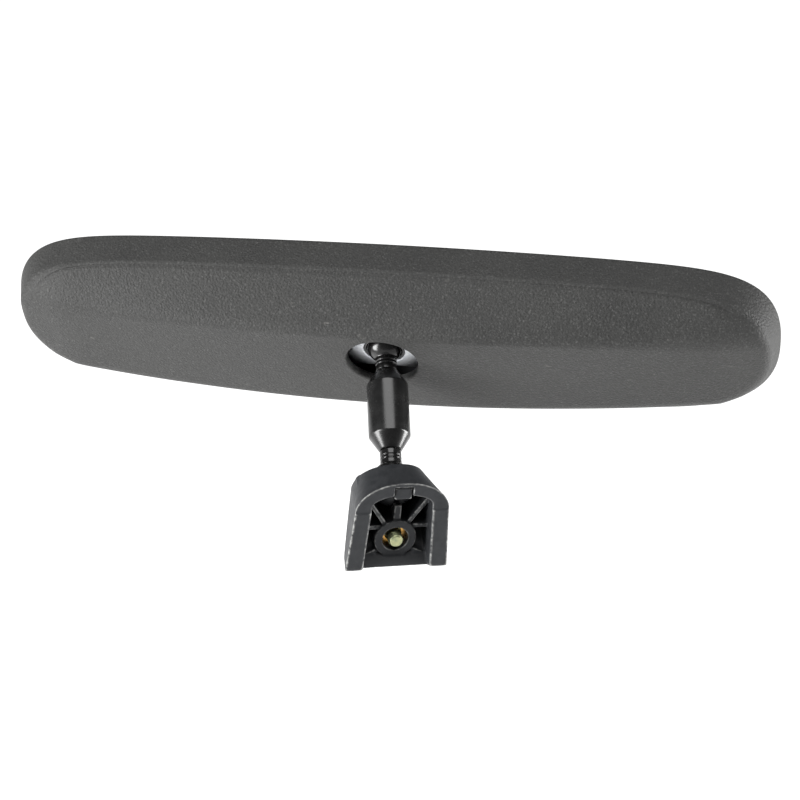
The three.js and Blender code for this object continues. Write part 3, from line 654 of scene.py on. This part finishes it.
def housing_rows():
    """The housing's surface as rows of points round the head, from the lip to the hole and back."""
    rim = rim_end()
    inward = -outline(head_angles, 0) / (np.array([HEAD_LENGTH, HEAD_HEIGHT]) / 2)
    top = fade(rim[:, 2], *STEP_Z) * fade(-np.abs(rim[:, 0]), -STEP_X[1], -STEP_X[0])
    rounding = RIM_ROUND - (RIM_ROUND - STEP_ROUND) * top
    rows = [flat_ring(LIP_WIDTH, LIP_DEPTH), flat_ring(LIP_WIDTH, 0.5),
            flat_ring(LIP_WIDTH - 0.15, 0.15), flat_ring(LIP_WIDTH - 0.5, 0.0), flat_ring(1.5, 0.0)]
    for degrees in (20, 45, 70, 90):
        a = math.radians(degrees)
        rows.append(flat_ring(FRONT_ROUND * (1 - math.sin(a)) + 0.06,
                              FRONT_ROUND * (1 - math.cos(a))))
    band_start = rows[-1]
    band = rim - band_start
    band_length = np.linalg.norm(band, axis=1)[:, None]
    for share in np.linspace(0.08, 1, 14):
        rows.append(band_start + band * share * (1 - rounding[:, None] / band_length))

    def behind(distance):
        """A point that far in from the rim's back edge, on the back surface."""
        distance = np.broadcast_to(distance, (HEAD_COLUMNS,))
        x, z = rim[:, 0] + inward[:, 0] * distance, rim[:, 2] + inward[:, 1] * distance
        from_groove = (distance - rounding - 0.45) / STEP_GROOVE_WIDTH
        dip = np.exp(-from_groove ** 2) * STEP_GROOVE * top
        return np.stack([x, back_depth(x, z) - dip, z], axis=1)

    corner = rim.copy()
    before, after = rows[-1], behind(rounding)
    for t in np.linspace(0.15, 1, 6):
        rows.append((1 - t) ** 2 * before + 2 * t * (1 - t) * corner + t * t * after)
    for share in np.linspace(0.04, 1, 16) ** 1.3:
        rows.append(behind(rounding + (NEAR_RIM - rounding) * share))

    turn_steps = 2 * np.pi * np.arange(HEAD_COLUMNS) / HEAD_COLUMNS
    tilt = math.radians(HOLE_TILT)

    def hole(radius, height=None):
        """Points round the ball's hole; without a height they lie on the back surface."""
        u, v = radius * np.cos(turn_steps), radius * np.sin(turn_steps)
        h = HOLE_HEIGHT if height is None else height
        y = BALL_IN_HEAD[1] + h * math.cos(tilt) + v * math.sin(tilt)
        z = BALL_IN_HEAD[2] - h * math.sin(tilt) + v * math.cos(tilt)
        if height is None:
            y = back_depth(u, z)
        return np.stack([u, y, z], axis=1)

    inner = hole(HOLE_RADIUS + 1.2)
    outer = rows[-1]
    for share in np.linspace(0, 1, 104)[1:]:
        mixed = outer + (inner - outer) * share
        mixed[:, 1] = back_depth(mixed[:, 0], mixed[:, 2])
        rows.append(mixed)
    start, end = hole(HOLE_RADIUS + HOLE_LIP), hole(HOLE_RADIUS, HOLE_HEIGHT - HOLE_LIP)
    corner = hole(HOLE_RADIUS)
    for t in np.linspace(0, 1, 7):
        rows.append((1 - t) ** 2 * start + 2 * t * (1 - t) * corner + t * t * end)
    floor = HOLE_HEIGHT - WALL * 1.15
    rows.append(hole(HOLE_RADIUS, floor + 0.4))
    rows.append(hole(HOLE_RADIUS + 0.3, floor))
    inside_start = hole(HOLE_RADIUS + 0.9, floor)
    rows.append(inside_start)
    level_in = np.stack([inward[:, 0], 0 * inward[:, 0], inward[:, 1]], axis=1)
    inside_end = rim + level_in * (WALL + 1.6)
    for share in np.linspace(0, 1, 26)[1:]:
        mixed = inside_start + (inside_end - inside_start) * share
        mixed[:, 1] = back_depth(mixed[:, 0], mixed[:, 2]) - WALL * 1.2
        rows.append(mixed)
    ledge = flat_ring(LEDGE_INSET, LEDGE_DEPTH)
    rows.append(0.5 * (rows[-1] + ledge))
    rows += [ledge, flat_ring(POCKET_INSET, LEDGE_DEPTH), flat_ring(POCKET_INSET, LIP_DEPTH)]
    return rows


def bracket_boss(side):
    """A screw boss inside the housing, turned from the socket's frame into the front's."""
    high, (radius, foot_radius) = HOLE_HEIGHT - BOSS_SETBACK, BOSS_RADII
    profile = rounded([(THREAD_HOLE, BOSS_LOW), (radius, BOSS_LOW, 0.3), (foot_radius, high),
                       (THREAD_HOLE, high), (THREAD_HOLE, BOSS_LOW)])
    points, faces = lathe(profile[:-1], 48, closed=True)
    points = points + np.array([side * BRACKET_SCREW_X, 0, 0])
    spin = np.array(turn(-(90 + HOLE_TILT), "X").to_3x3())
    return points @ spin.T + np.array(BALL_IN_HEAD), faces


def build_head(finish):
    shell = grid_mesh(housing_rows(), wrap_rows=True)
    points, faces = joined(shell, bracket_boss(-1), bracket_boss(1))
    piece("housing_shell", points, faces, FRONT, "head", ["housing"], "grained_plastic",
          finish["grained_plastic"], sharp=70)


def layer_mesh(inset, front, thick, bevel):
    """A flat sheet with the head's outline and a bevelled edge."""
    edge = [(bevel + 0.6, 0), (bevel, 0), (bevel * 0.3, bevel * 0.3), (0, bevel),
            (0, thick - bevel), (bevel * 0.3, thick - bevel * 0.3), (bevel, thick),
            (bevel + 0.6, thick)]
    return grid_mesh([flat_ring(inset + more, front + y) for more, y in edge], cap=True)


def gasket_mesh(front, thick, width):
    """A foam strip round the back of the glass, with soft edges."""
    outer, inner, r = POCKET_INSET + GAP, POCKET_INSET + width, 0.18
    ring = [(outer, front + r), (outer + r, front), (outer + 1.5, front), (inner - r, front),
            (inner, front + r), (inner, front + thick - r), (inner - r, front + thick),
            (outer + r, front + thick), (outer, front + thick - r)]
    return grid_mesh([flat_ring(inset, y) for inset, y in ring], wrap_rows=True)


def build_glass(finish):
    glass_front = LIP_DEPTH + GAP
    silver_front = glass_front + GLASS_THICK + GAP
    film_front = silver_front + SILVER_THICK + GAP
    behind = POCKET_INSET + COATING_INSET
    sheets = [
        ("mirror_pane", "mirror_glass", POCKET_INSET + GAP, glass_front, GLASS_THICK, 0.35,
         "clear_glass"),
        ("mirror_silvering", "silver_coating", behind, silver_front, SILVER_THICK, 0.05, "silver"),
        ("anti_scatter_film", "backing_film", behind, film_front, FILM_THICK, 0.08, "film"),
    ]
    for name, node, inset, front, thick, bevel, slot in sheets:
        points, faces = layer_mesh(inset, front, thick, bevel)
        piece(name, points, faces, FRONT, "head", [node], slot, finish[slot], sharp=30)
    points, faces = gasket_mesh(film_front + FILM_THICK + GAP, GASKET_THICK, GASKET_WIDTH)
    piece("foam_strip", points, faces, FRONT, "head", ["foam_gasket"], "foam", finish["foam"])


# ---- screws and springs --------------------------------------------------------------------------
def screw_field(radius, pitch, head_radius, head_thick, seat, tip):
    """A pan-head screw along +Z with a cross recess and a real thread."""
    depth = 0.28 * pitch
    recess_half, recess_reach = head_radius * 0.13, head_radius * 0.55
    recess_depth = head_thick * 0.6

    def field(x, y, z):
        r = np.sqrt(x * x + y * y) + 1e-9
        wave = np.mod(z / pitch - np.arctan2(y, x) / (2 * np.pi), 1.0)
        ridge = 1 - np.abs(2 * wave - 1)
        runout = np.clip((z - seat - 0.4) / pitch, 0, 1) * np.clip((tip - z) / pitch + 0.35, 0, 1)
        shaft = (r - (radius - depth) - depth * ridge * runout) * 0.8
        shaft = most(shaft, z - tip, 0.3)
        shaft = most(shaft, r - radius + (z - tip + 0.7) * 0.8, 0.2)
        shaft = most(shaft, seat - 0.5 - z)
        top = seat - head_thick
        crown = np.minimum(z - (top + head_thick * 0.75), 0) * 1.6
        dome = np.sqrt(r * r + crown ** 2) - head_radius
        head = most(most(dome, z - seat, 0.25), top - z, 0.35)
        cross = np.minimum(most(np.abs(x) - recess_half, np.abs(y) - recess_reach),
                           most(np.abs(y) - recess_half, np.abs(x) - recess_reach))
        taper = (z - top) / recess_depth
        cross = most(cross + taper * 0.25 * recess_half, z - top - recess_depth, 0.15)
        return least(most(head, -cross, 0.15), shaft, 0.15)

    reach = head_radius + 0.2
    low = (-reach, -reach, seat - head_thick - 0.1)
    return field, low, (reach, reach, tip + 0.1)


def build_screws(finish):
    along_y = turn(-90, "X")
    points, faces = solid(*screw_field(*MOUNT_SCREW), 0.14)
    piece("mounting_screw", points, faces, ROW @ along_y, "base", ["mount_screw"], "yellow_zinc",
          finish["yellow_zinc"])
    front = HUB_FLOOR - GAP
    back, hole, rim = front - WASHER_THICK, MOUNT_SCREW[0] + GAP, WASHER_RADIUS
    ring = rounded([(hole, back), (rim, back, 0.25), (rim, front, 0.25), (hole, front, 0.15),
                    (hole, back)])
    points, faces = lathe(ring[:-1], 96, closed=True)
    piece("plain_washer", points, faces, ROW @ along_y, "base", ["screw_washer"], "yellow_zinc",
          finish["orange_zinc"], sharp=40)

    clamp = solid(*screw_field(*CLAMP_SCREW), 0.13)
    bracket = solid(*screw_field(*BRACKET_SCREW), 0.13)
    for i, side in enumerate((-1, 1), 1):
        for kind, mesh, x in (("clamp", clamp, CLAMP_SCREW_X),
                              ("bracket", bracket, BRACKET_SCREW_X)):
            points, faces = shifted(mesh, (side * x, 0, 0))
            piece(f"{kind}_fastener_{i}", points, faces, HEAD_SOCKET, "head", [f"{kind}_screw_{i}"],
                  "bracket_steel", finish["bracket_steel"])
        points, faces = shifted(spring_mesh(*CLAMP_SPRING), (side * CLAMP_SCREW_X, 0, 0))
        piece(f"clamp_coil_{i}", points, faces, HEAD_SOCKET, "head", [f"clamp_spring_{i}"],
              "bracket_steel", finish["spring_steel"])


def spring_mesh(radius, wire, low, high, turns):
    """A coil spring as a tube of round wire along a helix."""
    sides, per_turn = 14, 40
    steps = int(turns * per_turn) + 1
    a = np.linspace(0, 2 * np.pi * turns, steps)
    z = np.linspace(low + wire, high - wire, steps)
    rise = (high - low - 2 * wire) / (2 * np.pi * turns)
    centre = np.stack([radius * np.cos(a), radius * np.sin(a), z], axis=1)
    out = np.stack([np.cos(a), np.sin(a), 0 * a], axis=1)
    along = np.stack([-radius * np.sin(a), radius * np.cos(a), np.full_like(a, rise)], axis=1)
    along /= np.linalg.norm(along, axis=1)[:, None]
    up = np.cross(along, out)
    around = np.linspace(0, 2 * np.pi, sides, endpoint=False)
    rows = [centre[i] + wire * (np.outer(np.cos(around), out[i]) + np.outer(np.sin(around), up[i]))
            for i in range(steps)]
    return grid_mesh(rows, cap=True)


# ---- socket parts in the head --------------------------------------------------------------------
def build_bracket(finish):
    def bracket(x, y, z):
        straight = BRACKET_HALF_LENGTH - BRACKET_HALF_WIDTH
        bar = np.hypot(np.maximum(np.abs(x) - straight, 0), y) - BRACKET_HALF_WIDTH
        field = most(bar, slab(z, BRACKET_LOW, MOUTH_HEIGHT), 0.4)
        ball = SOCKET_RADIUS - np.sqrt(x * x + y * y + z * z)
        field = most(field, ball, 0.3)
        for reach, radius in ((CLAMP_SCREW_X, CLAMP_HOLE), (BRACKET_SCREW_X, THREAD_HOLE)):
            field = most(field, radius - np.hypot(np.abs(x) - reach, y), 0.3)
        return field

    reach = (BRACKET_HALF_LENGTH, BRACKET_HALF_WIDTH)
    points, faces = solid(bracket, (-reach[0], -reach[1], BRACKET_LOW), (*reach, MOUTH_HEIGHT), 0.3)
    piece("clamp_bracket", points, faces, HEAD_SOCKET, "head", ["socket_bracket"], "bracket_steel",
          finish["bracket_steel"])

    def cup(x, y, z):
        r = np.sqrt(x * x + y * y + z * z)
        bowl = most(r - CUP_RADIUS - 0.05, z + 0.15, 0.3)
        flange = box_field(x, y, z, (-FLANGE_HALF_LENGTH, -FLANGE_HALF_WIDTH, FLANGE_LOW),
                           (FLANGE_HALF_LENGTH, FLANGE_HALF_WIDTH, FLANGE_HIGH), 0.5)
        field = most(least(bowl, flange, 0.6), SOCKET_RADIUS - r, 0.2)
        return most(field, FLANGE_HOLE - np.hypot(np.abs(x) - CLAMP_SCREW_X, y), 0.3)

    points, faces = solid(cup, (-FLANGE_HALF_LENGTH, -8.2, -8.2), (FLANGE_HALF_LENGTH, 8.2, 0), 0.3)
    piece("clamp_cup", points, faces, HEAD_SOCKET, "head", ["socket_cup"], "bracket_steel",
          finish["bracket_steel"])


def build_liners(finish):
    inner_radius, outer_radius = LINER_RADII
    low, high = LINER_SPLIT
    deep = [*arc(outer_radius, -outer_radius, low, 24), *arc(inner_radius, low, -inner_radius, 24)]
    top = MOUTH_HEIGHT - 0.1
    ring = [*arc(outer_radius, high, top, 10), *arc(inner_radius, top, high, 10)]
    places = (("lower", BASE_SOCKET, "lower_seat", "lower_ring"),
              ("upper", HEAD_SOCKET, "upper_seat", "upper_ring"))
    for end, place, seat_body, ring_body in places:
        points, faces = lathe(deep, 96)
        piece(f"{end}_ball_seat", points, faces, place, seat_body, [f"{end}_liner_inner"],
              "liner_plastic", finish["liner_plastic"])
        points, faces = lathe(ring, 96, closed=True)
        piece(f"{end}_ball_ring", points, faces, place, ring_body, [f"{end}_liner_outer"],
              "liner_plastic", finish["liner_plastic"])


# ---- arm -----------------------------------------------------------------------------------------
def stud_profile():
    start = math.sqrt(BALL_RADIUS ** 2 - NECK_RADIUS ** 2)
    neck = [(NECK_RADIUS, start + 0.25, 0.3)]
    floor = NECK_RADIUS - GROOVE_DEPTH
    for z in GROOVE_PLACES:
        end = z + GROOVE_WIDTH
        neck += [(NECK_RADIUS, z, 0.08), (floor, z + GROOVE_SLOPE, 0.1),
                 (floor, end - GROOVE_SLOPE, 0.1), (NECK_RADIUS, end, 0.08)]
    neck += [(NECK_RADIUS, NECK_END, 0.15), (SHANK_RADIUS, NECK_END, 0.1),
             (SHANK_RADIUS, SHANK_END, 0.4), (0, SHANK_END)]
    ball = arc(BALL_RADIUS, -BALL_RADIUS, start, 40)
    return ball + [tuple(p) for p in rounded([ball[-1], *neck])[1:]]


def build_arm(finish):
    stud = lathe(stud_profile(), 112)
    piece("lower_stud", *stud, ARM, "arm", ["lower_ball_stud"], "black_metal", finish["ball_paint"],
          sharp=60)
    far_end = ARM @ Matrix.Translation((0, 0, ARM_LENGTH * MM)) @ turn(180, "X")
    piece("upper_stud", *stud, far_end, "arm", ["upper_ball_stud"], "black_metal",
          finish["ball_paint"], sharp=60)
    low = NECK_END + GAP
    high = ARM_LENGTH - low
    bore = SHANK_RADIUS + GAP
    profile = rounded([
        (bore, low), (SLEEVE_TIP_RADIUS, low, 0.35), (SLEEVE_RADIUS, low + SLEEVE_TAPER, 0.4),
        (SLEEVE_RADIUS, high - SLEEVE_TAPER, 0.4), (SLEEVE_TIP_RADIUS, high, 0.35),
        (bore, high, 0.1), (bore, low),
    ], steps=7)
    points, faces = lathe(profile[:-1], 128, closed=True)
    piece("arm_barrel", points, faces, ARM, "arm", ["arm_sleeve"], "black_metal",
          finish["barrel_paint"], sharp=60)


# ---- base ----------------------------------------------------------------------------------------
def mouth_point(distance, height=MOUTH_HEIGHT):
    """[y, z] of a point in the lower socket's middle plane, from its axis and centre."""
    a = math.radians(SOCKET_PITCH)
    y = lower_ball.y / MM - height * math.cos(a) + distance * math.sin(a)
    return y, lower_ball.z / MM + height * math.sin(a) + distance * math.cos(a)


def socket_coordinates(x, y, z):
    """The row's x, y, z in the lower socket's frame."""
    a = math.radians(90 - SOCKET_PITCH)
    dy, dz = y - lower_ball.y / MM, z - lower_ball.z / MM
    return x, dy * math.cos(a) + dz * math.sin(a), -dy * math.sin(a) + dz * math.cos(a)


def bar_field(x, z, start, end, thick):
    """Distance to a straight bar between two [x, z] points."""
    (x0, z0), (x1, z1) = start, end
    length = math.hypot(x1 - x0, z1 - z0)
    ux, uz = (x1 - x0) / length, (z1 - z0) / length
    along = (x - x0) * ux + (z - z0) * uz
    across = np.abs(-(x - x0) * uz + (z - z0) * ux)
    return np.maximum(across - thick / 2, np.maximum(-along, along - length))


ARCH_STEP, ARCH_SETBACK = 12.8, 0.3    # above this height the arch's front stands back
INSIDE = 0.02                          # keeps the lower edge inside the CAD box


def base_field(x, y, z):
    sx, sy, sz = socket_coordinates(x, y, z)
    from_ball = np.sqrt(sx * sx + sy * sy + sz * sz)
    reach = (BASE_TOP - mouth_point(0)[1]) / math.cos(math.radians(SOCKET_PITCH))
    side_view = [(0, BASE_BOTTOM + INSIDE), (0, BASE_TOP), mouth_point(reach),
                 mouth_point(-HOOD_REACH), (-BOTTOM_THICK, BASE_BOTTOM + INSIDE)]
    halves = [half + DRAFT_HALF * y for half in BASE_HALF]
    sides = arch(x, z, halves, BASE_BOTTOM, BASE_SHOULDER + DRAFT_SHOULDER * y, BASE_TOP)
    hull = most(convex(y, z, side_view[::-1], 0.8), sides, 0.6)
    hull = most(hull, y + ARCH_SETBACK * fade(z, ARCH_STEP - 0.15, ARCH_STEP + 0.15), 0.2)
    pocket_view = [*POCKET_FLOOR, mouth_point(POCKET_REACH[0], -MOUTH_HEIGHT),
                   mouth_point(POCKET_REACH[1], -MOUTH_HEIGHT), (CUT_PAST, BASE_TOP - 2)]
    pocket = most(convex(y, z, pocket_view, 0.8),
                  arch(x, z, POCKET_HALF, BASE_BOTTOM - CUT_PAST, POCKET_SHOULDER, POCKET_TOP), 1.0)
    inside = most(np.hypot(x, z) - HUB_RADIUS, y - HUB_FRONT, 0.4)
    side = np.abs(x)
    for start, end in RIB_LINES:
        bar = most(bar_field(side, z, start, end, RIB_THICK), y - RIB_FRONT, 0.3)
        inside = least(inside, bar, 0.5)
    spine = most(bar_field(x, z, *CENTRE_RIB, CENTRE_RIB_THICK), y - RIB_FRONT, 0.3)
    inside = most(least(inside, spine, 0.5), hull)
    field = least(most(hull, -pocket, 0.7), inside, 0.8)
    recess = most(from_ball - (CUP_RADIUS + GAP), sz - 0.2)
    mouth_radius = math.sqrt(SOCKET_RADIUS ** 2 - MOUTH_HEIGHT ** 2)
    mouth = most(np.hypot(sx, sy) - mouth_radius, slab(sz, 1, 9))
    cavity = np.minimum(np.minimum(from_ball - SOCKET_RADIUS, recess), mouth)
    notch = box_field(x, y, z, (-KEY_HALF - GAP, KEY_NOTCH_Y[0], KEY_NOTCH_Z[0]),
                      (KEY_HALF + GAP, KEY_NOTCH_Y[1], KEY_NOTCH_Z[1]), 0.3)
    field = most(field, -notch, 0.35)
    field = most(field, -cavity, 0.45)
    axis = np.hypot(x, z)
    bore = np.minimum(most(axis - HUB_BORE, slab(y, HUB_FLOOR - CUT_PAST, CUT_PAST)),
                      most(axis - COUNTERBORE, y - HUB_FLOOR))
    return most(field, -bore, 0.3)


def cup_field(x, y, z):
    sx, sy, sz = socket_coordinates(x, y, z)
    from_ball = np.sqrt(sx * sx + sy * sy + sz * sz)
    shell = most(from_ball - CUP_RADIUS, sz + 0.1, 0.3)
    finger = box_field(x, y, z, (-KEY_HALF, KEY_FINGER_Y[0], KEY_FINGER_Z[0]),
                       (KEY_HALF, KEY_FINGER_Y[1], KEY_FINGER_Z[1]), 0.6)
    return most(least(shell, finger, 0.5), SOCKET_RADIUS - from_ball, 0.2)


def build_base(finish):
    points, faces = solid(base_field, (-16.6, -23, -8.5), (16.6, 0.1, 23), 0.3)
    cover = piece("base_shell", points, faces, ROW, "base", ["base_cover"], "base_plastic",
                  finish["base_plastic"], sharp=80)
    mark_edges(cover)
    points, faces = solid(cup_field, (-8.3, -23.2, 6.5), (8.3, -0.7, 23.2), 0.25)
    cup = piece("lower_socket_cup", points, faces, ROW, "base", ["base_socket_cup"], "base_plastic",
                finish["base_plastic"], sharp=80)
    mark_edges(cup)


# ---- stage ---------------------------------------------------------------------------------------
# places and sizes in metres, turns in degrees
CAMERA_PLACE = (0.168683, 0.545244, 0.374712)
CAMERA_TURN = (60.377, -5.299, 166.263)
CAMERA_LENS = 99.0
WORLD_LIGHT, WORLD_SEEN = 0.15, 1.0
SUN_STRENGTH, SUN_SPREAD = 3.0, 50
SUN_FROM = (0.1, 0.12, 1.0)
FLOOR_DROP, FLOOR_HALF = 0.6, 6.0
SIDE_LIGHT_SIZE = (0.4, 0.7)


def area_light(name, place, aim, size, power):
    data = bpy.data.lights.new(name, "AREA")
    data.shape = "RECTANGLE"
    data.size, data.size_y = size
    data.energy = power
    obj = bpy.data.objects.new(name, data)
    obj.location = place
    obj.rotation_euler = (Vector(aim) - Vector(place)).to_track_quat("-Z", "Y").to_euler()
    bpy.context.scene.collection.objects.link(obj)


def build_stage():
    data = bpy.data.cameras.new("camera")
    data.lens = CAMERA_LENS
    data.clip_start = 0.01
    camera = bpy.data.objects.new("camera", data)
    camera.location = CAMERA_PLACE
    camera.rotation_euler = Euler([math.radians(a) for a in CAMERA_TURN])
    scene = bpy.context.scene
    scene.collection.objects.link(camera)
    scene.camera = camera
    scene.view_settings.view_transform = "Standard"

    world = bpy.data.worlds.new("studio")
    scene.world = world
    world.use_nodes = True
    tree = world.node_tree
    background = tree.nodes["Background"]
    background.inputs["Color"].default_value = (1, 1, 1, 1)
    strength = tree.nodes.new("ShaderNodeMapRange")
    strength.inputs["To Min"].default_value = WORLD_LIGHT
    strength.inputs["To Max"].default_value = WORLD_SEEN
    path = tree.nodes.new("ShaderNodeLightPath")
    tree.links.new(path.outputs["Is Camera Ray"], strength.inputs["Value"])
    tree.links.new(strength.outputs["Result"], background.inputs["Strength"])

    sun = bpy.data.lights.new("sky", "SUN")
    sun.energy = SUN_STRENGTH
    sun.angle = math.radians(SUN_SPREAD)
    sky = bpy.data.objects.new("sky", sun)
    sky.rotation_euler = Vector(SUN_FROM).to_track_quat("Z", "Y").to_euler()
    scene.collection.objects.link(sky)

    mesh = bpy.data.meshes.new("floor")
    level = cad_low.z - FLOOR_DROP
    corners = ((-1, -1), (1, -1), (1, 1), (-1, 1))
    mesh.from_pydata([(x * FLOOR_HALF, y * FLOOR_HALF, level) for x, y in corners], [],
                     [(0, 1, 2, 3)])
    floor = bpy.data.objects.new("floor", mesh)
    finish = Finish("floor_paint", (0.93, 0.93, 0.93), 0.9)
    mesh.materials.append(finish.material)
    scene.collection.objects.link(floor)

    middle = (cad_low + cad_high) / 2
    area_light("right", middle + Vector((-0.9, 0.25, 0.0)), middle, SIDE_LIGHT_SIZE, 20)
    area_light("left", middle + Vector((0.9, 0.25, 0.0)), middle, SIDE_LIGHT_SIZE, 22)


# ---- the model -----------------------------------------------------------------------------------
finishes = {
    "grained_plastic": grained_plastic(),
    "base_plastic": base_plastic(),
    "liner_plastic": liner_plastic(),
    "barrel_paint": black_metal("barrel_paint", 0.24, 0.005),
    "ball_paint": black_metal("ball_paint", 0.2, 0.004),
    "bracket_steel": plated_metal("bracket_steel", (0.42, 0.43, 0.44), (0.3, 0.31, 0.33), 0.36),
    "spring_steel": plated_metal("spring_steel", (0.5, 0.5, 0.51), (0.36, 0.36, 0.38), 0.26),
    "yellow_zinc": plated_metal("yellow_zinc", (0.36, 0.36, 0.2), (0.24, 0.27, 0.17), 0.4),
    "orange_zinc": plated_metal("orange_zinc", (0.72, 0.4, 0.1), (0.5, 0.3, 0.12), 0.35),
    "clear_glass": clear_glass(),
    "silver": silver(),
    "film": film(),
    "foam": foam(),
}
build_stage()
build_head(finishes)
build_glass(finishes)
build_bracket(finishes)
build_screws(finishes)
build_liners(finishes)
build_arm(finishes)
build_base(finishes)
